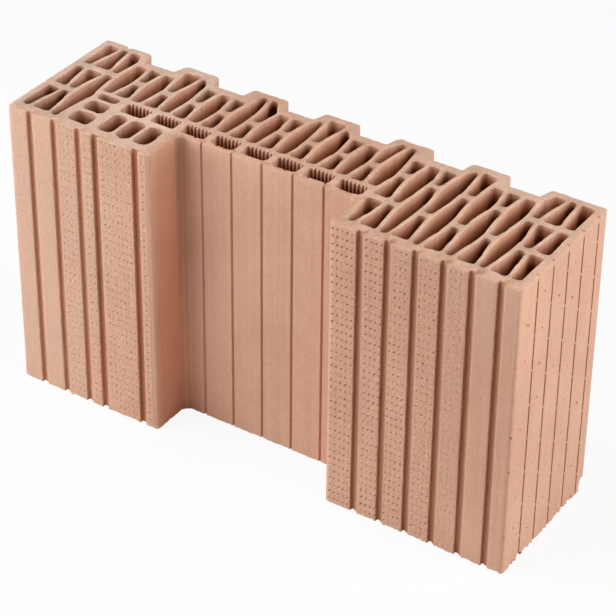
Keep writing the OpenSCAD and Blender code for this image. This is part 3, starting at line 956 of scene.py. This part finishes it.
def blended(tree, share, first, second):
    """A colour between two others, or past the second where the share is over 1."""
    return add_node(tree, "ShaderNodeMix", {0: share, 6: first, 7: second}, data_type="RGBA",
                    clamp_factor=False).outputs[2]


def tinted(tree, first, second):
    """One colour multiplied by another."""
    return add_node(tree, "ShaderNodeVectorMath", {0: first, 1: second}, operation="MULTIPLY").outputs[0]


def shaded(tree, colour, factor):
    """A colour made lighter or darker by a factor."""
    return add_node(tree, "ShaderNodeVectorMath", {"Vector": colour, "Scale": factor},
                    operation="SCALE").outputs[0]


def mottle(tree, place, scale, detail, roughness=0.6):
    """Noise from about 0.3 to 0.7."""
    return add_node(tree, "ShaderNodeTexNoise", {"Vector": place, "Scale": scale, "Detail": detail,
                                                 "Roughness": roughness}).outputs["Fac"]


def marked(tree, name):
    """What a mark on the mesh says."""
    return add_node(tree, "ShaderNodeAttribute", attribute_name=name).outputs["Fac"]


def fired_clay():
    """Fired clay: pale salmon in uneven tones, dusty outside, with painted shade, redder and darker, in
    cells, grooves, pricks, score lines and the recess, and painted light in the recess, on open cells and on
    the left grooves' floors.
    """
    clay = bpy.data.materials.new("fired_clay")
    clay.use_nodes = True
    tree = clay.node_tree
    shader = tree.nodes["Principled BSDF"]
    shader.inputs["Roughness"].default_value = 0.92
    shader.inputs["Specular IOR Level"].default_value = 0.18
    place = add_node(tree, "ShaderNodeTexCoord").outputs["Object"]
    in_mm = shaded(tree, place, 1.0 / MM)
    along, _, level = add_node(tree, "ShaderNodeSeparateXYZ", {"Vector": in_mm}).outputs
    normal = add_node(tree, "ShaderNodeNewGeometry").outputs["True Normal"]
    upright = add_node(tree, "ShaderNodeSeparateXYZ", {"Vector": normal}).outputs["Z"]
    bed = ranged(tree, sum_of(tree, upright, 0.0, "ABSOLUTE"), 0.55, 0.95)
    from_top = sum_of(tree, TOP / MM, level, "SUBTRACT")
    from_bottom = sum_of(tree, level, BOTTOM / MM, "SUBTRACT")
    from_bed = sum_of(tree, from_top, from_bottom, "MINIMUM")
    cell_wall = marked(tree, "cell_wall")
    tightness = marked(tree, "tightness")
    rough = sum_of(tree, marked(tree, "rough"), sum_of(tree, bed, BED_ROUGH, "MULTIPLY"), "MAXIMUM")

    patches = ranged(tree, mottle(tree, in_mm, 0.014, 4.0), 0.35, 0.65)
    drawn = add_node(tree, "ShaderNodeMapping", {"Vector": in_mm, "Scale": (0.5, 0.5, 0.006)}).outputs[0]
    streaks = mottle(tree, drawn, 1.0, 5.0)
    grains = mottle(tree, in_mm, 0.9, 6.0, 0.7)
    crumbs = mottle(tree, in_mm, 0.28, 3.0)
    specks = mottle(tree, in_mm, 0.42, 4.0, 0.65)
    streak = ranged(tree, streaks, *MOTTLE_RANGE, 0.94, 1.06)
    grain = ranged(tree, grains, *MOTTLE_RANGE, 0.92, 1.08)
    walls = blended(tree, patches, *WALL_TONES)
    walls = shaded(tree, walls, sum_of(tree, streak, grain, "MULTIPLY"))

    pale_end = ranged(tree, along, LEFT / MM + 25.0, LEFT / MM + 115.0, 0.62, 0.12)
    pale_rim = ranged(tree, from_bed, 0.0, 7.0, 0.45, 0.0)
    pale = sum_of(tree, pale_end, pale_rim, "MAXIMUM")
    pale = sum_of(tree, pale, ranged(tree, crumbs, *MOTTLE_RANGE, 0.7, 1.3), "MULTIPLY")
    walls = blended(tree, pale, walls, shaded(tree, PALE_WALL_TONE, grain))
    dust = blended(tree, patches, *BED_TONES)
    from_middle = sum_of(tree, sum_of(tree, along, -10.0, "SUBTRACT"), 0.0, "ABSOLUTE")
    dust = blended(tree, ranged(tree, from_middle, 70.0, 95.0, 0.75, 0.0), dust, MIDDLE_BED_TONE)
    left_share = ranged(tree, along, LEFT / MM + 110.0, LEFT / MM + 150.0, 1.0, 0.0)
    dust = tinted(tree, dust, blended(tree, left_share, BED_TINT, LEFT_BED_TINT))
    dust = shaded(tree, dust, ranged(tree, grains, *MOTTLE_RANGE, 0.84, 1.14))
    colour = blended(tree, bed, walls, dust)

    # Painted shade down the cell walls: darker with depth, and sooner where the cell is tight
    depth = sum_of(tree, from_bed, tightness, "MULTIPLY")
    depth = ranged(tree, depth, 0.0, CELL_SHADE_DEPTH / MM)
    ramp = add_node(tree, "ShaderNodeValToRGB", {"Fac": depth})
    ramp.color_ramp.elements[0].color = NO_TINT
    ramp.color_ramp.elements[1].color = DEEPEST_CELL_SHADE
    for position, tint in CELL_SHADE_TINTS:
        ramp.color_ramp.elements.new(position).color = tint
    colour = tinted(tree, colour, blended(tree, cell_wall, NO_TINT, ramp.outputs["Color"]))
    # Painted shade, redder and darker, where the mesh marks it
    colour = tinted(tree, colour, blended(tree, marked(tree, "nook_shade"), NO_TINT, NOOK_SHADE_TINT))
    drag = sum_of(tree, streaks, 0.5, "SUBTRACT")
    drag = sum_of(tree, drag, sum_of(tree, cell_wall, 0.4, "MULTIPLY"), "MULTIPLY")
    speck = sum_of(tree, specks, 0.5, "SUBTRACT")
    speck = sum_of(tree, speck, sum_of(tree, rough, 0.5, "MULTIPLY"), "MULTIPLY")
    # Painted light on the walls of open cells, painted shade on those of tight ones
    painted_open_light = ranged(tree, tightness, *OPEN_CELL_RANGE, OPEN_CELL_PAINTED_LIGHT, -OPEN_CELL_PAINTED_LIGHT)
    # Painted shade and light from the marks on the mesh, then drag streaks, specks and the painted light of
    # open cells
    tone = sum_of(tree, 1.0, marked(tree, "painted_shade_and_light"), "SUBTRACT")
    tone = sum_of(tree, sum_of(tree, tone, drag), speck)
    tone = sum_of(tree, tone, sum_of(tree, cell_wall, painted_open_light, "MULTIPLY"))
    colour = shaded(tree, colour, tone)
    tree.links.new(colour, shader.inputs["Base Color"])

    lumps = sum_of(tree, sum_of(tree, crumbs, specks), rough, "MULTIPLY")
    height = sum_of(tree, sum_of(tree, lumps, 0.42, "MULTIPLY"), sum_of(tree, grains, 0.12, "MULTIPLY"))
    height = sum_of(tree, height, sum_of(tree, streaks, 0.12, "MULTIPLY"))
    bump = add_node(tree, "ShaderNodeBump", {"Strength": 1.0, "Distance": MM, "Height": height})
    tree.links.new(bump.outputs["Normal"], shader.inputs["Normal"])
    return clay


def finish_shading(mesh):
    """Smooth shading that stays sharp across edges of more than a set angle."""
    mesh.polygons.foreach_set("use_smooth", np.ones(len(mesh.polygons), dtype=bool))
    mesh.set_sharp_from_angle(angle=SHARP_EDGE)


def dressed_block():
    """The block as it came out of the kiln and the grinder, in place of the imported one."""
    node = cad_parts["clay_block"]
    clay = fired_clay()
    copy = merged_copy(node)
    loops = section_loops(copy)
    outline = loops[0]
    lands = front_lands(outline)
    recess = recess_span(outline)
    clay_tree = BVHTree.FromBMesh(copy)
    mesh, cell_loops = rebuilt_block(clay_tree, loops)
    copy.free()
    pricks = prick_tree()
    chips = chip_tree()
    mesh = worked(mesh, end_bridges(bridge_tree(), clay, outline), "UNION")
    mesh = worked(mesh, land_pricks(pricks, clay, lands), "DIFFERENCE")
    mesh = worked(mesh, end_nicks(pricks, clay, outline), "DIFFERENCE")
    mesh = worked(mesh, edge_chips(chips, clay, lands, recess), "DIFFERENCE")
    mesh = worked(mesh, corner_chips(chips, clay), "DIFFERENCE")
    mark_shade_and_roughness(mesh, clay_tree, cell_loops, outline, lands, recess)
    mesh.materials.clear()
    mesh.materials.append(clay)
    finish_shading(mesh)
    block = bpy.data.objects.new("fired_block", mesh)
    bpy.context.scene.collection.objects.link(block)
    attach(block, "root")
    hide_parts("clay_block")
    return block


def seen_directly(tree):
    """1 for rays that show the surroundings themselves: to the camera, mirrored or through glass."""
    path = add_node(tree, "ShaderNodeLightPath").outputs
    either = sum_of(tree, path["Is Camera Ray"], path["Is Glossy Ray"], "MAXIMUM")
    return sum_of(tree, either, path["Is Transmission Ray"], "MAXIMUM")


def pale_floor():
    """A plain white floor that keeps a soft shadow."""
    material = bpy.data.materials.new("pale_floor")
    material.use_nodes = True
    tree = material.node_tree
    shader = tree.nodes["Principled BSDF"]
    shader.inputs["Base Color"].default_value = (0.9, 0.9, 0.9, 1.0)
    shader.inputs["Roughness"].default_value = 1.0
    shader.inputs["Specular IOR Level"].default_value = 0.0
    glow = add_node(tree, "ShaderNodeEmission", {"Strength": 1.0}).outputs[0]
    share = sum_of(tree, seen_directly(tree), FLOOR_GLOW, "MULTIPLY")
    mix = add_node(tree, "ShaderNodeMixShader", {"Fac": share})
    tree.links.new(shader.outputs[0], mix.inputs[1])
    tree.links.new(glow, mix.inputs[2])
    tree.links.new(mix.outputs[0], tree.nodes["Material Output"].inputs["Surface"])
    mesh = bpy.data.meshes.new("floor")
    corners = ((-1.0, -1.0), (1.0, -1.0), (1.0, 1.0), (-1.0, 1.0))
    mesh.from_pydata([(FLOOR_REACH * x, FLOOR_REACH * y, BOTTOM) for x, y in corners], [], [(0, 1, 2, 3)])
    mesh.materials.append(material)
    floor = bpy.data.objects.new("floor", mesh)
    bpy.context.scene.collection.objects.link(floor)


def soft_box(name, turn, rise, power):
    """A square studio light, turned from the front to the right and raised, aimed at the block."""
    turn = math.radians(turn)
    rise = math.radians(rise)
    way = Vector((math.sin(turn) * math.cos(rise), -math.cos(turn) * math.cos(rise), math.sin(rise)))
    data = bpy.data.lights.new(name, "AREA")
    data.size = SOFT_BOX_SIZE
    data.energy = power
    lamp = bpy.data.objects.new(name, data)
    lamp.location = SOFT_BOX_AIM + SOFT_BOX_REACH * way
    lamp.rotation_euler = (-way).to_track_quat("-Z", "Y").to_euler()
    bpy.context.scene.collection.objects.link(lamp)


def studio():
    """White surroundings, with soft boxes to the left and to the right."""
    world = bpy.data.worlds.new("studio")
    world.use_nodes = True
    tree = world.node_tree
    tree.nodes.clear()
    light = add_node(tree, "ShaderNodeBackground", {"Strength": WORLD_LIGHT}).outputs[0]
    white = add_node(tree, "ShaderNodeBackground",
                     {"Color": (1.0, 1.0, 1.0, 1.0), "Strength": 1.0}).outputs[0]
    mix = add_node(tree, "ShaderNodeMixShader", {"Fac": seen_directly(tree)})
    tree.links.new(light, mix.inputs[1])
    tree.links.new(white, mix.inputs[2])
    add_node(tree, "ShaderNodeOutputWorld", {"Surface": mix.outputs[0]})
    bpy.context.scene.world = world
    for name, turn, rise, power in SOFT_BOXES:
        soft_box(name, turn, rise, power)


place_camera()
dressed_block()
pale_floor()
studio()
bpy.context.scene.view_settings.view_transform = "Standard"
